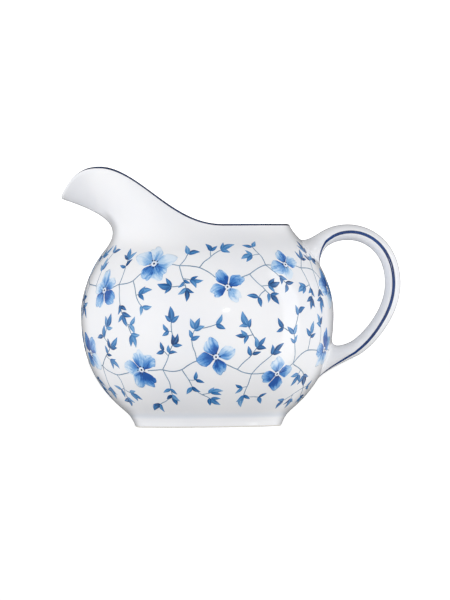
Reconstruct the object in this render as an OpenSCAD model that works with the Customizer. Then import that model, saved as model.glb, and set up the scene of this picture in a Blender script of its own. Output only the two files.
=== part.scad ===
// Porcelain cream jug: a round belly on a low foot ring, a flared neck that
// runs out into a tall pouring spout, and a looped handle luted on opposite.
// Millimetres, +Z up. The origin is on the belly's axis, in the plane that
// the foot stands on. The spout points along -X and the handle along +X.

/* [Foot] */
// Radius of the foot ring where it stands
foot_radius = 27.7; // [26:0.1:28.5]
// Height of the foot ring, up to the start of the belly
foot_height = 5.1; // [4.5:0.1:5.5]
// Radius of the foot ring where it meets the belly
foot_top_radius = 30.3; // [29.5:0.1:31]
// Width of the unglazed ring that the jug stands on
foot_land = 2.6; // [2:0.1:3.5]

/* [Belly] */
// Largest radius of the belly
belly_radius = 48; // [47:0.1:49]
// Height of the belly's widest point
belly_height = 43; // [42:0.1:44]
// Radius of the shoulder, where belly and neck meet
shoulder_radius = 38.8; // [38.4:0.1:39.2]
// Height of the shoulder
shoulder_height = 67.3; // [66.8:0.1:67.8]
// Lean of the wall at the shoulder, in degrees from level
shoulder_lean = 50; // [47:1:53]
// Wall thickness of the belly
wall = 2.8; // [2.4:0.1:3.2]
// Thickness of the floor inside the foot ring
floor_thickness = 3; // [2.6:0.1:3.6]

/* [Mouth and spout] */
// Radius of the mouth along the crown of its rim
mouth_radius = 30.3; // [29.8:0.1:30.8]
// Height of the rim at the back and the sides
mouth_height = 76.5; // [76:0.1:77.2]
// Distance from the axis to the tip of the spout
spout_reach = 54.9; // [53.5:0.1:56.5]
// Distance from the axis to the highest point of the spout
crest_reach = 40; // [39:0.1:41.5]
// Height of the spout's crest, the highest point of the jug
crest_height = 98.9; // [96:0.1:100]
// Height of the rim at the tip of the spout
tip_height = 88.2; // [87.2:0.1:89]
// Breadth of the spout at its crest, along the crown of its rim
crest_breadth = 30; // [27:0.5:32]
// Thickness of the rounded rim
rim_thickness = 2.2; // [2:0.1:2.4]

/* [Handle] */
// Thickness of the grip, seen from the side
grip_thickness = 6; // [5.4:0.1:6.4]
// Width of the grip, seen from behind
grip_width = 9.6; // [8.5:0.1:10.5]
// Distance from the axis to the middle of the grip at its back
grip_reach = 70.6; // [69.6:0.1:71.6]
// Height of the middle of the grip at its back
grip_height = 54; // [53:0.1:55]

/* [Painted lines] */
// Thickness of a fired line of colour
paint = 0.12; // [0.1:0.01:0.2]

/* [Hidden] */
$fn = 96;

porcelain = "#F3F5F8";
cobalt = "#2C4A86";

// ---- curves and grids ------------------------------------------------

// Point at t, from 0 to 1, on a cubic curve with control points c.
function bezier(c, t) =
    pow(1 - t, 3) * c[0] + 3 * t * pow(1 - t, 2) * c[1]
    + 3 * t * t * (1 - t) * c[2] + pow(t, 3) * c[3];

// Direction of travel at t on the same curve.
function bezier_slope(c, t) =
    pow(1 - t, 2) * (c[1] - c[0]) + 2 * t * (1 - t) * (c[2] - c[1])
    + t * t * (c[3] - c[2]);

function bezier_points(c, steps, first = 0) =
    [for (i = [first : steps]) bezier(c, i / steps)];

function unit(v) = v / norm(v);
function mix(a, b, w) = a + (b - a) * w;
function clamp01(x) = min(1, max(0, x));
function ease(x) = clamp01(x) * clamp01(x) * (3 - 2 * clamp01(x));

// A closed tube through rings of equal length; its ends are capped flat.
module skin(rings) {
    count = len(rings[0]);
    last = len(rings) - 1;
    sides = [
        for (i = [0 : last - 1], j = [0 : count - 1], half = [0, 1])
            let (k = (j + 1) % count)
            half == 0
                ? [i * count + j, i * count + k, (i + 1) * count + k]
                : [i * count + j, (i + 1) * count + k, (i + 1) * count + j]
    ];
    start = [[for (j = [count - 1 : -1 : 0]) j]];
    end = [[for (j = [0 : count - 1]) last * count + j]];
    polyhedron([for (ring = rings) each ring], concat(sides, start, end));
}

// A ring-shaped solid: closed loops of equal length, joined all the way round.
module loop_skin(loops) {
    count = len(loops[0]);
    total = len(loops);
    faces = [
        for (i = [0 : total - 1], j = [0 : count - 1], half = [0, 1])
            let (next = (i + 1) % total, k = (j + 1) % count)
            half == 0
                ? [i * count + j, i * count + k, next * count + k]
                : [i * count + j, next * count + k, next * count + j]
    ];
    polyhedron([for (l = loops) each l], faces);
}

// ---- belly -------------------------------------------------------------

belly_steps = 14;

// Pull on the belly's curve: in from its widest, and up from the foot's height.
foot_pull = [-4.5, 10.6];
// Pull straight down and straight up from the belly's widest point.
down_pull = 16;
up_pull = 8.6;
// Pull along the lean of the shoulder.
shoulder_pull = 7.3;

// Outline of the belly as [radius, height], in a lower and an upper sweep.
lower_sweep = [
    [foot_top_radius, foot_height],
    [belly_radius, foot_height] + foot_pull,
    [belly_radius, belly_height - down_pull],
    [belly_radius, belly_height]
];
lean_out = [cos(shoulder_lean), -sin(shoulder_lean)];
shoulder = [shoulder_radius, shoulder_height];
upper_sweep = [
    [belly_radius, belly_height],
    [belly_radius, belly_height + up_pull],
    shoulder + shoulder_pull * lean_out,
    shoulder
];

// Inside of the wall at the shoulder's own height.
shoulder_bore = shoulder_radius - wall / sin(shoulder_lean);
floor_top = foot_height + floor_thickness;
// Radius of the flat floor, and how near the wall its curve is drawn out.
floor_radius = 20;
floor_pull = 10;
lower_bore = [
    [floor_radius, floor_top],
    [belly_radius - floor_pull, floor_top],
    [belly_radius - wall, belly_height - down_pull],
    [belly_radius - wall, belly_height]
];
upper_bore = [
    [belly_radius - wall, belly_height],
    [belly_radius - wall, belly_height + up_pull],
    [shoulder_bore, shoulder_height] + shoulder_pull * lean_out,
    [shoulder_bore, shoulder_height]
];

belly_outside = concat(
    bezier_points(lower_sweep, belly_steps),
    bezier_points(upper_sweep, belly_steps, 1)
);
belly_inside = concat(
    bezier_points(lower_bore, belly_steps),
    bezier_points(upper_bore, belly_steps, 1)
);

module bowl() {
    outline = concat(
        [[0, foot_height]],
        belly_outside,
        [for (i = [len(belly_inside) - 1 : -1 : 0]) belly_inside[i]],
        [[0, floor_top]]
    );
    color(porcelain) rotate_extrude() polygon(outline);
}

// ---- foot ring ---------------------------------------------------------

// Small radius on the edges that the jug stands on.
foot_edge = 0.5;
// Run-in of the ring's inner side, and how late its outer side flares.
foot_cove = 1.4;
foot_flare = 1.4;

module foot_ring() {
    inner = foot_radius - foot_land;
    outline = concat(
        [[inner - foot_cove, foot_height]],
        [for (a = [180 : 30 : 270])
            [inner + foot_edge + foot_edge * cos(a), foot_edge + foot_edge * sin(a)]],
        [for (a = [270 : 30 : 330])
            [foot_radius - foot_edge + foot_edge * cos(a), foot_edge + foot_edge * sin(a)]],
        [for (t = [0.2 : 0.2 : 1])
            [mix(foot_radius, foot_top_radius, pow(t, foot_flare)), foot_height * t]]
    );
    color(porcelain) rotate_extrude() polygon(outline);
}

// ---- neck and spout ----------------------------------------------------

// Columns round the neck, and rows up each of its two faces.
columns = 80;
rows = 12;
cap_rows = 8;

// Where the rim begins to rise, as a distance from the axis to the handle side.
rise_start = 7;
// Angle round from the handle at which the crest comes.
crest_angle = 146;
// How far the rim turns in at the crest, in degrees.
crest_turn = 24;
// Lean of the rim at the back and at the tip of the spout, from level.
back_lean = 114;
tip_lean = 19;
// How late the rim rises to the crest, falls to the tip, and the wall flares.
rise_curve = 1.15;
fall_curve = 1.3;
flare_curve = 2;
// Pull on the rim's plan: from the mouth's side, to and from the crest, at the tip.
mouth_pull = 10;
to_crest_pull = 14;
from_crest_pull = 8;
tip_blunt = 10.5;
// Where the lip fans out from in plan, and the angles over which it comes to.
fan_centre = [-28, 0];
fan_start = 100;
fan_full = 150;
// Pull up the wall from the shoulder, and down it from the rim, as shares of
// the span between them: at the back, and at the tip of the spout.
shoulder_share = [0.31, 0.456];
rim_share = [0.31, 0.73];

// Plan of the rim: from the side of the mouth to the crest, then to the tip.
crest = [-crest_reach, crest_breadth / 2];
crest_run = [-cos(crest_turn), -sin(crest_turn)];
side_plan = [
    [0, mouth_radius],
    [-mouth_pull, mouth_radius],
    crest - to_crest_pull * crest_run,
    crest
];
tip_plan = [
    crest,
    crest + from_crest_pull * crest_run,
    [-spout_reach, tip_blunt],
    [-spout_reach, 0]
];

// How far an angle has gone from the mouth's side to the crest, and on to the tip.
function side_part(a) = (a - 90) / (crest_angle - 90);
function tip_part(a) = (a - crest_angle) / (180 - crest_angle);

// Crown of the rim in plan, at an angle of 0 to 180 round from the handle.
function crown_plan(a) =
    a <= 90 ? mouth_radius * [cos(a), sin(a)]
    : a <= crest_angle ? bezier(side_plan, side_part(a))
    : bezier(tip_plan, tip_part(a));

// Direction of the crown in plan at the same angle.
function crown_run(a) =
    a <= 90 ? [-sin(a), cos(a)]
    : a <= crest_angle ? unit(bezier_slope(side_plan, side_part(a)))
    : unit(bezier_slope(tip_plan, tip_part(a)));

// Outward direction in plan: square to the rim, and fanned out round the lip.
function crown_out(a) =
    let (
        square = [crown_run(a)[1], -crown_run(a)[0]],
        fan = unit(crown_plan(a) - fan_centre)
    )
    unit(mix(square, fan, ease((a - fan_start) / (fan_full - fan_start))));

// Height of the crown: level, then up to the crest, then down to the tip.
function crown_height(a) =
    let (
        back = -crown_plan(a)[0],
        way = clamp01((back + rise_start) / (crest_reach + rise_start)),
        up = ease(pow(way, rise_curve)),
        down = ease(pow(clamp01(tip_part(a)), fall_curve))
    )
    mouth_height + (crest_height - mouth_height) * up - (crest_height - tip_height) * down;

// How much of the spout's flare there is at an angle, from 0 to 1.
function flare(a) = ease(pow(clamp01((a - 90) / 90), flare_curve));

function wall_lean(a) = mix(back_lean, tip_lean, flare(a));

// Unit vectors up the wall at the rim, and square to it, outwards.
function rim_up(a) =
    let (lean = wall_lean(a), out = crown_out(a))
    [out[0] * cos(lean), out[1] * cos(lean), sin(lean)];
function rim_out(a) =
    let (lean = wall_lean(a), out = crown_out(a))
    [out[0] * sin(lean), out[1] * sin(lean), -cos(lean)];

// Middle of the rounded rim.
function rim_middle(a) =
    let (p = crown_plan(a))
    [p[0], p[1], crown_height(a)] - rim_thickness / 2 * rim_up(a);

// Control points up the wall from a radius at the shoulder to the rim's side.
function wall_sweep(a, radius, side) =
    let (
        foot = [radius * cos(a), radius * sin(a), shoulder_height],
        lift = [
            -cos(shoulder_lean) * cos(a),
            -cos(shoulder_lean) * sin(a),
            sin(shoulder_lean)
        ],
        top = rim_middle(a) + side * rim_thickness / 2 * rim_out(a),
        span = norm(top - foot),
        low = mix(shoulder_share[0], shoulder_share[1], flare(a)) * span,
        high = mix(rim_share[0], rim_share[1], flare(a)) * span
    )
    [foot, foot + low * lift, top - high * rim_up(a), top];

// Point on the rounded rim, at an angle from its outer to its inner side.
function cap_point(a, turn, swell = 0) =
    rim_middle(a)
    + (rim_thickness / 2 + swell) * (cos(turn) * rim_out(a) + sin(turn) * rim_up(a));

// One closed section of the neck's wall, at an angle of 0 to 180.
function wall_section(a) = concat(
    bezier_points(wall_sweep(a, shoulder_radius, 1), rows),
    [for (i = [1 : cap_rows - 1]) cap_point(a, 180 * i / cap_rows)],
    [for (i = [rows : -1 : 0]) bezier(wall_sweep(a, shoulder_bore, -1), i / rows)]
);

function mirrored(points) = [for (p = points) [p[0], -p[1], p[2]]];

// Sections all the way round, the second half mirrored from the first.
function round_neck(sections) = concat(
    sections,
    [for (j = [columns / 2 - 1 : -1 : 1]) mirrored(sections[j])]
);

module neck_and_spout() {
    half = [for (j = [0 : columns / 2]) wall_section(360 * j / columns)];
    color(porcelain) loop_skin(round_neck(half));
}

// The painted line covers the middle half of the rounded rim.
line_first = cap_rows / 4;
line_last = cap_rows - line_first;

function line_section(a) = concat(
    [for (i = [line_first : line_last]) cap_point(a, 180 * i / cap_rows, paint)],
    [for (i = [line_last : -1 : line_first]) cap_point(a, 180 * i / cap_rows)]
);

module rim_line() {
    half = [for (j = [0 : columns / 2]) line_section(360 * j / columns)];
    color(cobalt) loop_skin(round_neck(half));
}

// ---- handle ------------------------------------------------------------

grip_steps = 11;
grip_sides = 24;
root_steps = 7;

// Middle line of the grip as [distance, height]: over the top, then down.
upper_end = [44.7, 70.8];
lower_end = [55.4, 28.9];
upper_lift = 32;
lower_lift = 24;
// Pull on the curve at its upper end, above and below its back, at its lower end.
upper_pull = 12;
over_pull = 17.3;
under_pull = 12.6;
lower_pull = 4.4;
over_curve = [
    upper_end,
    upper_end + upper_pull * [cos(upper_lift), sin(upper_lift)],
    [grip_reach, grip_height + over_pull],
    [grip_reach, grip_height]
];
down_curve = [
    [grip_reach, grip_height],
    [grip_reach, grip_height - under_pull],
    lower_end + lower_pull * [cos(lower_lift), sin(lower_lift)],
    lower_end
];

// Each root on the body: its middle's height, half its height and half its
// width, and how far the grip's own line is carried on into it.
upper_root_height = 65.8;
upper_root_half = 5.2;
upper_root_pull = 2;
lower_root_height = 25.4;
lower_root_half = 8;
lower_root_pull = 6;
root_half_width = 6;

// Oval section of the grip, square to the direction of travel.
function grip_ring(middle, travel, swell = 0) =
    let (run = unit(travel), over = [-run[1], run[0]])
    [for (j = [0 : grip_sides - 1])
        let (
            turn = 360 * (j + 0.5) / grip_sides,
            rise = (grip_thickness / 2 + swell) * cos(turn),
            across = (grip_width / 2 + swell) * sin(turn)
        )
        [middle[0] + rise * over[0], across, middle[1] + rise * over[1]]];

function grip_rings(swell = 0) = concat(
    [for (i = [0 : grip_steps])
        grip_ring(bezier(over_curve, i / grip_steps),
                  bezier_slope(over_curve, i / grip_steps), swell)],
    [for (i = [1 : grip_steps])
        grip_ring(bezier(down_curve, i / grip_steps),
                  bezier_slope(down_curve, i / grip_steps), swell)]
);

module handle_grip() {
    color(porcelain) skin(grip_rings());
}

// Outline of the body behind the handle, as [height, radius] pairs.
back_wall = wall_sweep(0, shoulder_radius, 1);
body_back = concat(
    [for (p = belly_outside) [p[1], p[0]]],
    [for (i = [1 : rows]) let (p = bezier(back_wall, i / rows)) [p[2], p[0]]]
);

// The body as one filled solid of revolution, which the roots are fitted to.
module body_blank() {
    outline = concat(
        [[0, foot_height]],
        [for (p = body_back) [p[1], p[0]]],
        [[0, body_back[len(body_back) - 1][0]]]
    );
    rotate_extrude() polygon(outline);
}

// Outline on the body that a root spreads to, proud of the wall or inside it.
function root_print(middle, half_height, half_width, proud) =
    [for (j = [0 : grip_sides - 1])
        let (
            turn = 360 * (j + 0.5) / grip_sides,
            height = middle + half_height * cos(turn),
            radius = lookup(height, body_back) + proud,
            swing = half_width * sin(turn) / radius * 180 / PI
        )
        [radius * cos(swing), radius * sin(swing), height]];

// How proud a root's edge stands, how deep it starts inside the wall, how far
// off the wall its fillets are drawn, and how flat they come onto the wall.
edge_proud = 0.25;
start_depth = 1;
fillet_lift = 1.2;
hug = 0.4;

// A root: the grip's end ring drawn out in soft fillets onto the body.
module handle_root(end, lift, middle, half_height, pull) {
    run = [cos(lift), 0, sin(lift)];
    start = grip_ring(end, [cos(lift), sin(lift)]);
    landing = root_print(middle, half_height, root_half_width, edge_proud);
    buried = root_print(middle, half_height, root_half_width, -start_depth);
    centre = [lookup(middle, body_back) + fillet_lift, 0, middle];
    fillets = [
        for (i = [root_steps : -1 : 0])
            [for (j = [0 : grip_sides - 1])
                bezier(
                    [start[j], start[j] - pull * run, mix(landing[j], centre, hug), landing[j]],
                    i / root_steps
                )]
    ];
    color(porcelain) difference() {
        skin(concat([buried], fillets));
        body_blank();
    }
}

module handle_upper_root() {
    handle_root(upper_end, upper_lift, upper_root_height, upper_root_half, upper_root_pull);
}

module handle_lower_root() {
    handle_root(lower_end, lower_lift, lower_root_height, lower_root_half, lower_root_pull);
}

// A painted line along one facet of the grip's side.
module handle_line(facet) {
    face = grip_rings();
    top = grip_rings(paint);
    color(cobalt) skin([
        for (i = [0 : len(face) - 1])
            [top[i][facet], top[i][facet + 1], face[i][facet + 1], face[i][facet]]
    ]);
}

module handle_line_front() {
    handle_line(grip_sides * 3 / 4 - 1);
}

module handle_line_back() {
    handle_line(grip_sides / 4 - 1);
}

bowl();
foot_ring();
neck_and_spout();
handle_grip();
handle_upper_root();
handle_lower_root();
rim_line();
handle_line_front();
handle_line_back();
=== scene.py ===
"""Porcelain cream jug with a blue flower print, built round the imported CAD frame.

The body, handle and painted lines are fine meshes of the same surfaces as the
CAD nodes that they stand for. The print lies on the glaze as thin closed shapes.
"""

import math

import bpy
import numpy as np
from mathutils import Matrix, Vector


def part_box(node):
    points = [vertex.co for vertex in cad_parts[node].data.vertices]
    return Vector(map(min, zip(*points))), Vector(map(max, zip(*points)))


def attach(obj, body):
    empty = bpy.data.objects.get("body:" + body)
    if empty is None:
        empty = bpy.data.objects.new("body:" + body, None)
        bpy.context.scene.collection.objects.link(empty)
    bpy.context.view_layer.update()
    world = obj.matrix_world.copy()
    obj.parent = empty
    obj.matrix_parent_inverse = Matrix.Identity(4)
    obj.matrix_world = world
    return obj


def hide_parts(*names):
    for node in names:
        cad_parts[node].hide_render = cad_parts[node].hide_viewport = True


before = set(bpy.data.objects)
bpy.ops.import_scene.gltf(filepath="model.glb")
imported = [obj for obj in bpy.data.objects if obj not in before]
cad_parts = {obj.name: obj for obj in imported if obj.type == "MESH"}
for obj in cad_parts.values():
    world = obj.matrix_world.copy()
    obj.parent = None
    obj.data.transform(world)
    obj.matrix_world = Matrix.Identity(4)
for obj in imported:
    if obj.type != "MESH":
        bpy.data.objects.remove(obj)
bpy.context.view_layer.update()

# ---- sizes, in millimetres ----

MM = 0.001


def cad_top(node):
    """Highest corner of a CAD node's box, in millimetres."""
    return np.array(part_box(node)[1]) / MM


BOWL_HIGH, FOOT_HIGH = cad_top("bowl"), cad_top("foot_ring")

FOOT_RADIUS = 27.7
FOOT_HEIGHT = FOOT_HIGH[2]
FOOT_TOP_RADIUS = FOOT_HIGH[0]
FOOT_LAND = 2.6
BELLY_RADIUS = BOWL_HIGH[0]
BELLY_HEIGHT = 43.0
SHOULDER_RADIUS = 38.8
SHOULDER_HEIGHT = BOWL_HIGH[2]
SHOULDER_LEAN = math.radians(50)
WALL = 2.8
FLOOR_THICKNESS = 3.0
MOUTH_RADIUS = 30.3
MOUTH_HEIGHT = 76.5
SPOUT_REACH = 54.9
CREST_REACH = 40.0
CREST_HEIGHT = 98.9
CREST_BREADTH = 30.0
TIP_HEIGHT = 88.2
RIM_THICKNESS = 2.2
GRIP_THICKNESS = 6.0
GRIP_WIDTH = 9.6
GRIP_REACH = 70.6
GRIP_HEIGHT = 54.0
PRINT_SEED = 11

# ---- curves ----


def bezier(points, t):
    """Points on a cubic curve; t may be an array, and a leading axis broadcasts."""
    a, b, c, d = (np.asarray(p, float) for p in points)
    t = np.asarray(t, float)[..., None]
    u = 1 - t
    return u**3 * a + 3 * u * u * t * b + 3 * u * t * t * c + t**3 * d


def bezier_slope(points, t):
    """Direction of travel along the same curve."""
    a, b, c, d = (np.asarray(p, float) for p in points)
    t = np.asarray(t, float)[..., None]
    u = 1 - t
    return 3 * (u * u * (b - a) + 2 * u * t * (c - b) + t * t * (d - c))


def on_circle(rad, reach, height):
    """Points at a reach and height each, at angles in radians."""
    return np.stack([reach * np.cos(rad), reach * np.sin(rad), height + 0 * rad], -1)


def unit(v):
    return v / np.linalg.norm(v, axis=-1, keepdims=True)


def ease(x):
    x = np.clip(x, 0, 1)
    return x * x * (3 - 2 * x)


def mix(a, b, w):
    return a + (b - a) * w


def even(curve, count):
    """Points at equal steps along a polyline."""
    step = np.linalg.norm(np.diff(curve, axis=0), axis=1)
    run = np.concatenate([[0], np.cumsum(step)])
    at = np.linspace(0, run[-1], count)
    return np.stack([np.interp(at, run, curve[:, k]) for k in range(curve.shape[1])], 1)


def even_bezier(points, start, end, count, fine=200):
    """Points at equal steps along part of a cubic curve."""
    return even(bezier(points, np.linspace(start, end, fine)), count)


# ---- the body's surface ----

# How far each curve is drawn on along its direction at an end.
DOWN_PULL, UP_PULL, SHOULDER_PULL, FLOOR_PULL = 16, 8.6, 7.3, 10
FLOOR_RADIUS = 20

LEAN_OUT = np.array([math.cos(SHOULDER_LEAN), -math.sin(SHOULDER_LEAN)])
SHOULDER_BORE = SHOULDER_RADIUS - WALL / math.sin(SHOULDER_LEAN)
FLOOR_TOP = FOOT_HEIGHT + FLOOR_THICKNESS


def lower_curve(foot, above_foot, belly):
    """From above the foot out to the widest ring of the belly."""
    return [foot, above_foot, (belly, BELLY_HEIGHT - DOWN_PULL), (belly, BELLY_HEIGHT)]


def upper_curve(belly, shoulder):
    """From the widest ring of the belly in to the shoulder."""
    top = np.array([shoulder, SHOULDER_HEIGHT])
    low = [(belly, BELLY_HEIGHT), (belly, BELLY_HEIGHT + UP_PULL)]
    return low + [top + SHOULDER_PULL * LEAN_OUT, top]


ABOVE_FOOT = (BELLY_RADIUS - 4.5, FOOT_HEIGHT + 10.6)
LOWER_SWEEP = lower_curve((FOOT_TOP_RADIUS, FOOT_HEIGHT), ABOVE_FOOT, BELLY_RADIUS)
UPPER_SWEEP = upper_curve(BELLY_RADIUS, SHOULDER_RADIUS)
BORE_RADIUS = BELLY_RADIUS - WALL
LOWER_BORE = lower_curve(
    (FLOOR_RADIUS, FLOOR_TOP), (BELLY_RADIUS - FLOOR_PULL, FLOOR_TOP), BORE_RADIUS
)
UPPER_BORE = upper_curve(BORE_RADIUS, SHOULDER_BORE)

RISE_START = 7.0
CREST_ANGLE = 146.0
CREST_TURN = math.radians(24)
BACK_LEAN = math.radians(114)
TIP_LEAN = math.radians(19)
FAN_CENTRE, FAN_START, FAN_FULL = np.array([-28.0, 0.0]), 100.0, 150.0
RISE_CURVE, FALL_CURVE, FLARE_CURVE = 1.15, 1.3, 2.0
MOUTH_PULL, TO_CREST_PULL, FROM_CREST_PULL, TIP_BLUNT = 10, 14, 8, 10.5

CREST = np.array([-CREST_REACH, CREST_BREADTH / 2])
CREST_RUN = -np.array([math.cos(CREST_TURN), math.sin(CREST_TURN)])
SIDE_PLAN = [
    (0, MOUTH_RADIUS),
    (-MOUTH_PULL, MOUTH_RADIUS),
    CREST - TO_CREST_PULL * CREST_RUN,
    CREST,
]
TIP_PLAN = [
    CREST,
    CREST + FROM_CREST_PULL * CREST_RUN,
    (-SPOUT_REACH, TIP_BLUNT),
    (-SPOUT_REACH, 0),
]


def tip_share(a):
    """How far an angle lies from the crest, 0, towards the tip, 1."""
    return np.clip((a - CREST_ANGLE) / (180 - CREST_ANGLE), 0, 1)


def crown_plan(a):
    """Crown of the rim in plan, and its direction, at angles of 0 to 180 degrees."""
    rad = np.radians(a)
    back = MOUTH_RADIUS * np.stack([np.cos(rad), np.sin(rad)], -1)
    back_run = np.stack([-np.sin(rad), np.cos(rad)], -1)
    side_part = np.clip((a - 90) / (CREST_ANGLE - 90), 0, 1)
    tip_part = tip_share(a)
    side, side_run = (f(SIDE_PLAN, side_part) for f in (bezier, bezier_slope))
    tip, tip_run = (f(TIP_PLAN, tip_part) for f in (bezier, bezier_slope))
    at_back, at_side = (a <= 90)[..., None], (a <= CREST_ANGLE)[..., None]
    plan = np.where(at_back, back, np.where(at_side, side, tip))
    run = np.where(at_back, back_run, np.where(at_side, unit(side_run), unit(tip_run)))
    return plan, run


def crown_height(a, plan):
    rise = np.clip((RISE_START - plan[..., 0]) / (CREST_REACH + RISE_START), 0, 1)
    up, down = ease(rise**RISE_CURVE), ease(tip_share(a) ** FALL_CURVE)
    height = MOUTH_HEIGHT + (CREST_HEIGHT - MOUTH_HEIGHT) * up
    return height - (CREST_HEIGHT - TIP_HEIGHT) * down


def flare(a):
    """How much of the spout's lean an angle has: 0 at the side, 1 at the tip."""
    return ease(np.clip((a - 90) / 90, 0, 1) ** FLARE_CURVE)


def rim_frame(a):
    """Middle of the rounded rim, and unit vectors up the wall and out of it."""
    plan, run = crown_plan(a)
    lean = mix(BACK_LEAN, TIP_LEAN, flare(a))[..., None]
    square = np.stack([run[..., 1], -run[..., 0]], -1)
    fanned = ease((a - FAN_START) / (FAN_FULL - FAN_START))[..., None]
    out = unit(mix(square, unit(plan - FAN_CENTRE), fanned))
    up = np.concatenate([out * np.cos(lean), np.sin(lean)], -1)
    outward = np.concatenate([out * np.sin(lean), -np.cos(lean)], -1)
    crown = np.concatenate([plan, crown_height(a, plan)[..., None]], -1)
    return crown - RIM_THICKNESS / 2 * up, up, outward


def fold(angle):
    """Angles round the whole jug, folded to 0..180, and the side that each is on."""
    angle = np.mod(angle, 360)
    return np.where(angle <= 180, angle, 360 - angle), np.where(angle <= 180, 1.0, -1.0)


def mirror(points, side):
    return points * np.stack([np.ones_like(side), side, np.ones_like(side)], -1)


# Pulls of the wall's curve, as shares of its span: at the back and at the tip.
FOOT_PULLS, TOP_PULLS = (0.31, 0.456), (0.31, 0.73)


def wall_point(angle, v, radius, side_of_wall):
    """Neck and spout: v goes from the shoulder, 0, to the rim's side, 1."""
    a, hand = fold(angle)
    rad = np.radians(a)
    foot = on_circle(rad, radius, SHOULDER_HEIGHT)
    lift = on_circle(rad, -math.cos(SHOULDER_LEAN), math.sin(SHOULDER_LEAN))
    middle, up, outward = rim_frame(a)
    top = middle + side_of_wall * RIM_THICKNESS / 2 * outward
    span = np.linalg.norm(top - foot, axis=-1, keepdims=True)
    w = flare(a)[..., None]
    low = foot + mix(*FOOT_PULLS, w) * span * lift
    high = top - mix(*TOP_PULLS, w) * span * up
    return mirror(bezier([foot, low, high, top], v), hand)


def wall_rings(angles, shares, radius, side_of_wall):
    """Rings of the neck and spout, at shares of the way up."""
    count = len(angles)
    return [wall_point(angles, np.full(count, v), radius, side_of_wall) for v in shares]


def rim_point(angle, turn, swell=0.0):
    """Rounded rim: turn goes from its outer side, 0, over the crown to pi inside."""
    a, hand = fold(angle)
    middle, up, outward = rim_frame(a)
    turn = np.asarray(turn)[..., None]
    reach = RIM_THICKNESS / 2 + swell
    return mirror(middle + reach * (np.cos(turn) * outward + np.sin(turn) * up), hand)


def revolve(profile, angles):
    """Rings of a profile of (radius, height), as an array of profile x angle x 3."""
    return on_circle(np.radians(angles), profile[:, :1], profile[:, 1:])


# ---- meshes ----


def add_object(name, data):
    made = bpy.data.objects.new(name, data)
    bpy.context.collection.objects.link(made)
    return made


def coat(material, *pieces):
    for piece in pieces:
        piece.data.materials.append(material)


def make_mesh(name, verts, faces, smooth=None):
    """A smooth mesh; or one with only those faces smooth that are marked so."""
    mesh = bpy.data.meshes.new(name)
    mesh.from_pydata((np.asarray(verts) * MM).tolist(), [], faces)
    marks = np.ones(len(faces), bool) if smooth is None else smooth
    mesh.polygons.foreach_set("use_smooth", marks)
    mesh.validate()
    mesh.update()
    return add_object(name, mesh)


def quads(*corners):
    return np.stack(corners, -1).reshape(-1, 4)


def closed_rings(rings):
    """Vertices and faces of a surface through closed rings, with a fan at each end."""
    rows, count = rings.shape[:2]
    verts = np.concatenate([rings.reshape(-1, 3), rings[[0, -1]].mean(1)])
    index = np.arange(rows * count).reshape(rows, count)
    beside = np.roll(index, -1, axis=1)
    faces = quads(index[:-1], beside[:-1], beside[1:], index[1:]).tolist()
    fans = (beside[0], index[0]), (index[-1], beside[-1])
    for i, (first, second) in enumerate(fans):
        faces += np.stack([first, second, np.full(count, rows * count + i)], 1).tolist()
    return verts, faces


FOOT_EDGE, FOOT_FLARE = 0.5, 1.4
ROOF = FOOT_HEIGHT - 0.02  # of the recess under the jug
JOINT_SHARE = 0.05  # of the belly's lower curve that the foot's soft joint takes up


def foot_profile():
    """Recess, standing ring and flared outside of the foot, up to the belly."""
    edge, inner = FOOT_EDGE, FOOT_RADIUS - FOOT_LAND
    recess = [(r, ROOF) for r in np.linspace(1.0, inner - 3.4, 14)]
    cove_points = [
        (inner - 3.4, ROOF),
        (inner - 1.9, FOOT_HEIGHT),
        (inner - 1.35, FOOT_HEIGHT - 0.8),
        (inner - 1.1, FOOT_HEIGHT - 1.6),
    ]
    cove = bezier(cove_points, np.linspace(0, 1, 9)[1:])

    def rounded(centre, first, last):
        turn = np.radians(np.linspace(first, last, 7))
        return np.stack([centre + edge * np.cos(turn), edge + edge * np.sin(turn)], 1)

    heel, toe = rounded(inner + edge, 180, 270), rounded(FOOT_RADIUS - edge, 270, 335)
    t = np.linspace(0.2, 0.78, 10)
    flared = mix(FOOT_RADIUS, FOOT_TOP_RADIUS, t**FOOT_FLARE)
    side = np.stack([flared, FOOT_HEIGHT * t], 1)
    start = bezier(LOWER_SWEEP, JOINT_SHARE)
    kink = np.array([FOOT_TOP_RADIUS, FOOT_HEIGHT])
    soft_points = [side[-1], mix(side[-1], kink, 0.7), mix(start, kink, 0.7), start]
    soft = bezier(soft_points, np.linspace(0, 1, 9)[1:-1])
    return np.concatenate([recess, cove, heel, toe, side, soft])


def body_rings(columns=288):
    angles = np.arange(columns) * 360 / columns
    lower = even_bezier(LOWER_SWEEP, JOINT_SHARE, 1, 52)
    upper = even_bezier(UPPER_SWEEP, 0, 1, 34)[1:]
    upper_bore = even_bezier(UPPER_BORE, 1, 0, 26)[1:]
    lower_bore = even_bezier(LOWER_BORE, 1, 0, 50)[1:]
    floor = [(r, FLOOR_TOP) for r in np.linspace(18.5, 1.0, 13)]
    turns = np.linspace(0, math.pi, 15)[1:-1]
    outside = revolve(np.concatenate([foot_profile(), lower, upper]), angles)
    wall = wall_rings(angles, np.linspace(0, 1, 45)[1:], SHOULDER_RADIUS, 1)
    rim = [rim_point(angles, np.full(columns, turn)) for turn in turns]
    bore = wall_rings(angles, np.linspace(1, 0, 37), SHOULDER_BORE, -1)
    inside = revolve(np.concatenate([upper_bore, lower_bore, floor]), angles)
    return np.concatenate([outside, wall, rim, bore, inside])


def make_body():
    verts, faces = closed_rings(body_rings())
    body = make_mesh("jug_body", verts, faces)
    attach(body, "root")
    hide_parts("bowl", "foot_ring", "neck_and_spout")
    return body


# ---- the handle's surface ----

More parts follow.
